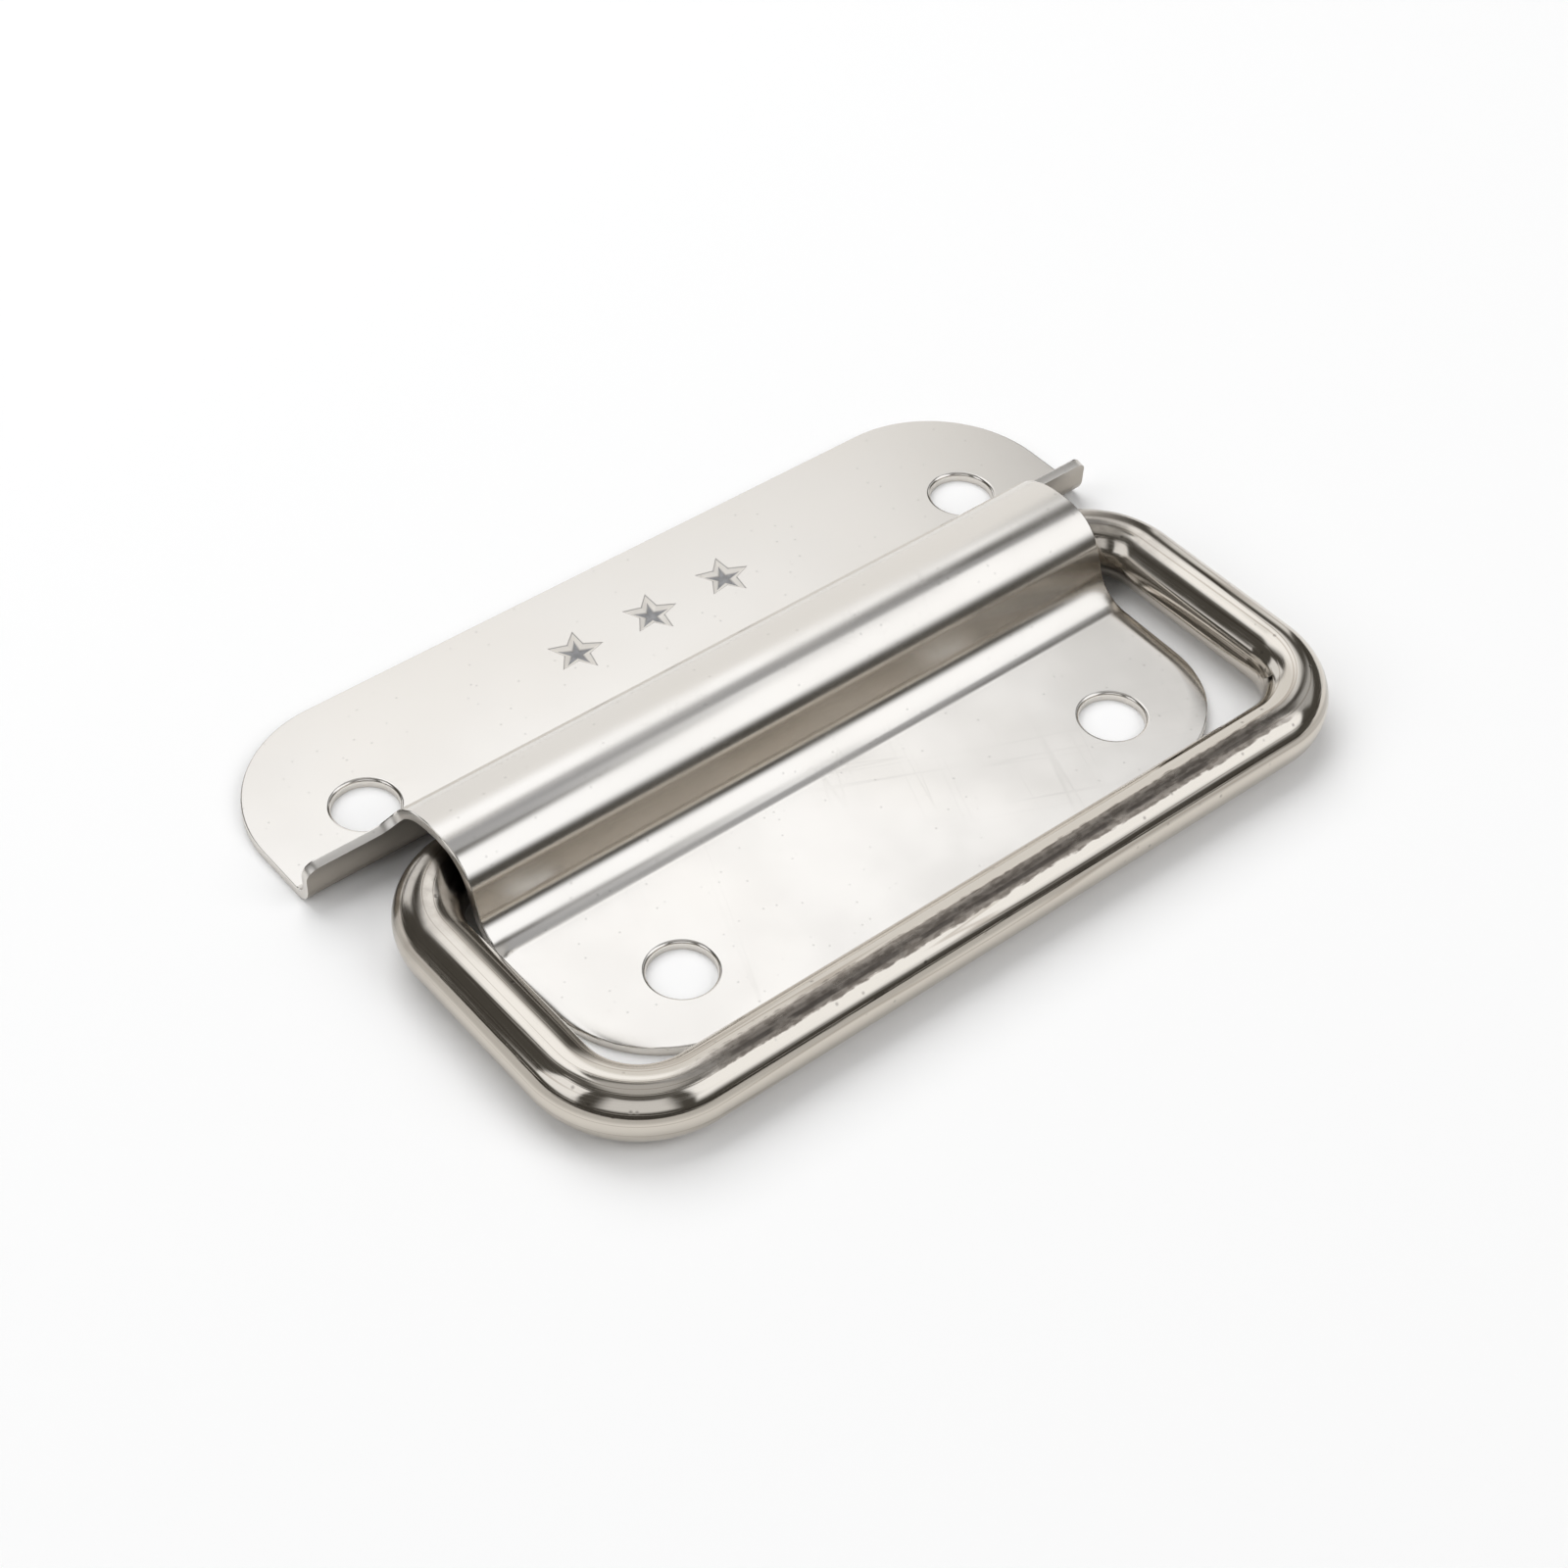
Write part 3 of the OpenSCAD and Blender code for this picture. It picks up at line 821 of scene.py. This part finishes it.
# %% Centre line with a bend radius at each corner
half_gap = end_gap / 2
corners = [(half_gap, pivot_y, 0), (leg_x, pivot_y, bail_back_r), (leg_x, grip_y, bail_front_r),
           (-leg_x, grip_y, bail_front_r), (-leg_x, pivot_y, bail_back_r), (-half_gap, pivot_y, 0)]
centre_line = bpy.data.meshes.new("centre_line")
runs = [(i, i + 1) for i in range(len(corners) - 1)]
centre_line.from_pydata([(x * mm, y * mm, pivot_z * mm) for x, y, _ in corners], runs, [])
bend_radius = centre_line.attributes.new("bend_radius", "FLOAT", "POINT")
bend_radius.data.foreach_set("value", [r * mm for _, _, r in corners])
print("centre line", len(corners), "corners")

# %% Sweep the wire
def keep_as(tree, geometry, name, value, kind):
    """The geometry with this value stored on its points under the name."""
    inputs = {"Geometry": geometry.outputs[0], "Name": name, "Value": value}
    return add(tree, "GeometryNodeStoreNamedAttribute", inputs, data_type=kind, domain="POINT")


def kept(tree, name, kind):
    """The value stored under the name."""
    return add(tree, "GeometryNodeInputNamedAttribute", {0: name}, data_type=kind).outputs[0]


tree, given, result = geometry_tree(
    "swept_wire", Wire_Radius="Float", Sides="Int", Bend_Steps="Int", Finish="Material")
path = add(tree, "GeometryNodeMeshToCurve", {0: given.outputs[0]})
bends = {"Curve": path.outputs[0], "Radius": kept(tree, "bend_radius", "FLOAT"),
         "Count": given.outputs["Bend Steps"]}
path = add(tree, "GeometryNodeFilletCurve", bends, mode="POLY")
path = add(tree, "GeometryNodeSetCurveNormal", {0: path.outputs[0]}, mode="Z_UP")
gone = tree.nodes.new("GeometryNodeSplineParameter").outputs["Length"]
path = keep_as(tree, path, "gone", gone, "FLOAT")
ring = add(tree, "GeometryNodeCurvePrimitiveCircle",
           {"Resolution": given.outputs["Sides"], "Radius": given.outputs["Wire Radius"]})
spot = tree.nodes.new("GeometryNodeInputPosition").outputs[0]
ring = keep_as(tree, ring, "round", spot, "FLOAT_VECTOR")
swept = add(tree, "GeometryNodeCurveToMesh",
            {"Curve": path.outputs[0], "Profile Curve": ring.outputs[0], "Fill Caps": True})
place_round = kept(tree, "round", "FLOAT_VECTOR")
place_round = add(tree, "ShaderNodeSeparateXYZ", {0: place_round}).outputs
straightened = {0: kept(tree, "gone", "FLOAT"), 1: place_round[0], 2: place_round[1]}
straightened = add(tree, "ShaderNodeCombineXYZ", straightened).outputs[0]
marked = keep_as(tree, swept, "along_wire", straightened, "FLOAT_VECTOR")
whole = add(tree, "GeometryNodeRealizeInstances", {0: marked.outputs[0]})
dressed = add(tree, "GeometryNodeSetMaterial",
              {0: whole.outputs[0], "Material": given.outputs["Finish"]})
tree.links.new(dressed.outputs[0], result.inputs[0])

bail_mesh = grow(tree, centre_line, "bail_wire", Wire_Radius=wire_r * mm, Sides=64,
                 Bend_Steps=28, Finish=wire_finish)
bail = polished(bail_mesh, crease=40)
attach(bail, "bail")
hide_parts("bail")
front = min(bail_mesh.vertices, key=lambda v: v.co.y)
print("bail", len(bail_mesh.polygons), "faces; in front the straightened place is",
      [round(v / mm, 2) for v in bail_mesh.attributes["along_wire"].data[front.index].vector])

# %% [markdown]
# ## Studio
# A mirror has no look of its own: it shows the room. The photograph's room is dark, with a large
# softbox behind and above the handle, one to its front right and one to its left, and a white
# sweep behind. The floor and the world are plain white and light everything evenly. Dark cards
# and softboxes, which only reflections see, stand round the table and draw the bands on the steel.
# Weaker ones overhead, low behind, by the camera and on the right keep the sheet bright from the
# other sides, and a small card close to the right leg fills in its inner side.

# %% White room and floor
world = bpy.data.worlds.new("white_room")
world.use_nodes = True
tree = world.node_tree
ray = tree.nodes.new("ShaderNodeLightPath").outputs
seen = calc(tree, "MAXIMUM", ray["Is Camera Ray"], ray["Is Glossy Ray"])
seen = calc(tree, "MAXIMUM", seen, ray["Is Transmission Ray"])
unseen_light, seen_white = 0.28, 1.0
background = tree.nodes["Background"].inputs
tree.links.new(ramp(tree, seen, 0.0, 1.0, unseen_light, seen_white), background["Strength"])
background["Color"].default_value = (1, 1, 1, 1)
scene.world = world

floor_mesh = bpy.data.meshes.new("floor")
reach, floor_gap, floor_white = 6.0, 0.02 * mm, (0.92, 0.92, 0.92, 1)
sheet_corners = [(x * reach, y * reach, 0) for x, y in ((-1, -1), (1, -1), (1, 1), (-1, 1))]
floor_mesh.from_pydata(sheet_corners, [], [(0, 1, 2, 3)])
floor = bpy.data.objects.new("floor", floor_mesh)
floor.location.z = cad_box[0][2] - floor_gap
scene.collection.objects.link(floor)
floor_paint = bpy.data.materials.new("white_floor")
floor_paint.use_nodes = True
floor_shader = floor_paint.node_tree.nodes["Principled BSDF"]
floor_shader.inputs["Base Color"].default_value = floor_white
floor_shader.inputs["Roughness"].default_value = 0.9
floor_shader.inputs["Specular IOR Level"].default_value = 0.0
floor_mesh.materials.append(floor_paint)
print("floor at", round(floor.location.z / mm, 3), "mm")

# %% Cards and softboxes
def direction(compass, rise):
    """The direction at this compass angle and rise, in degrees; 0 is the front, 90 the right."""
    compass, rise = radians(compass), radians(rise)
    return Vector((sin(compass) * cos(rise), -cos(compass) * cos(rise), sin(rise)))


card_centre, card_cuts = Vector((0, -17, 3)) * mm, 28


def studio_card(name, corners, distance, glow, soft):
    """A card seen only in reflections. Its corners are pairs of compass angle and rise; soft is how
    far in its sides, foot and top fade, as shares."""
    grid, fade = [], []
    row = card_cuts + 1
    for j in range(row):
        for i in range(row):
            u, v = i / card_cuts, j / card_cuts
            weights = ((1 - u) * (1 - v), u * (1 - v), u * v, (1 - u) * v)
            compass, rise = (sum(w * c[k] for w, c in zip(weights, corners)) for k in (0, 1))
            grid.append(card_centre + distance * direction(compass, rise))
            edges = zip((min(u, 1 - u), v, 1 - v), soft)
            fade.append(min([1.0] + [inside_by / share for inside_by, share in edges if share]))
    starts = [j * row + i for j in range(card_cuts) for i in range(card_cuts)]
    quads = [(k, k + 1, k + 1 + row, k + row) for k in starts]
    mesh = bpy.data.meshes.new(name)
    mesh.from_pydata(grid, [], quads)
    mesh.attributes.new("fade", "FLOAT", "POINT").data.foreach_set("value", fade)
    paint = bpy.data.materials.new(name)
    paint.use_nodes = True
    tree = paint.node_tree
    tree.nodes.remove(tree.nodes["Principled BSDF"])
    light = add(tree, "ShaderNodeEmission", {"Color": (*glow, 1)})
    mixed = add(tree, "ShaderNodeMixShader", {0: ramp(tree, mark(tree, "fade"), 0.0, 1.0)})
    tree.links.new(tree.nodes.new("ShaderNodeBsdfTransparent").outputs[0], mixed.inputs[1])
    tree.links.new(light.outputs[0], mixed.inputs[2])
    tree.links.new(mixed.outputs[0], tree.nodes["Material Output"].inputs["Surface"])
    mesh.materials.append(paint)
    card = bpy.data.objects.new(name, mesh)
    scene.collection.objects.link(card)
    for ray in ("camera", "diffuse", "transmission", "volume_scatter", "shadow"):
        setattr(card, "visible_" + ray, False)
    return card


dark, dim, pale = (0.085, 0.08, 0.072), (0.45, 0.46, 0.48), (0.58, 0.58, 0.58)
back_white, front_white, left_white = (1.38, 1.41, 1.46), (1.34, 1.37, 1.42), (1.2, 1.22, 1.26)
low_white, camera_white, right_grey = (1.0, 1.02, 1.05), (0.85, 0.86, 0.88), (0.52, 0.53, 0.54)
bounce_white = (0.95, 0.96, 0.97)
cards = [studio_card(*card) for card in (
    ("curtain", [(160, -4), (495, -4), (499, 70), (160, 70)], 1.6, dark, (0.015, 0.03, 0.1)),
    ("ceiling", [(0, 64), (360, 64), (360, 90), (0, 90)], 1.5, dark, (0, 0.1, 0)),
    ("overhead", [(0, 68), (360, 68), (360, 90), (0, 90)], 1.45, pale, (0, 0.4, 0)),
    ("ceiling_light", [(70, 50), (140, 52), (140, 74), (70, 74)], 1.4, dim, (0.1, 0.1, 0.1)),
    ("softbox_back", [(103, 33), (214, 42), (212, 80), (121, 51)], 1.2, back_white,
     (0.2, 0.5, 0.08)),
    ("softbox_front", [(2, 14), (44, 14), (114, 68), (8, 66)], 1.1, front_white,
     (0.08, 0.32, 0.14)),
    ("softbox_low", [(164, 4), (202, 4), (202, 32), (164, 32)], 1.3, low_white, (0.2, 0.2, 0.2)),
    ("softbox_camera", [(286, 16), (356, 16), (356, 60), (286, 60)], 1.3, camera_white,
     (0.2, 0.2, 0.2)),
    ("softbox_right", [(68, 20), (110, 20), (110, 48), (68, 48)], 1.3, right_grey,
     (0.25, 0.25, 0.2)),
    ("softbox_left", [(-122, 12), (-82, 12), (-86, 58), (-118, 58)], 1.1, left_white,
     (0.1, 0.1, 0.1)),
    ("bounce", [(98, -1), (112, -1), (112, 25), (98, 25)], 0.135, bounce_white, (0.1, 0, 0.4)),
)]
print("cards", [c.name for c in cards])

# %% Lamps that light the floor
def lamp(name, compass, rise, distance, size, watts):
    """A soft square lamp that points at the handle and stays out of its reflections."""
    data = bpy.data.lights.new(name, "AREA")
    data.size, data.energy = size, watts
    light = bpy.data.objects.new(name, data)
    towards = direction(compass, rise)
    light.location = distance * towards
    light.rotation_euler = towards.to_track_quat("Z", "Y").to_euler()
    light.visible_glossy = light.visible_camera = False
    scene.collection.objects.link(light)
    return light


lamp_distance = 0.9
lamps = [lamp("back_lamp", 170, 58, lamp_distance, 0.8, 5.3),
         lamp("front_lamp", 30, 42, lamp_distance, 0.6, 2.8),
         lamp("left_lamp", -102, 38, lamp_distance, 0.6, 2.1)]
print("lamps", [light.name for light in lamps])
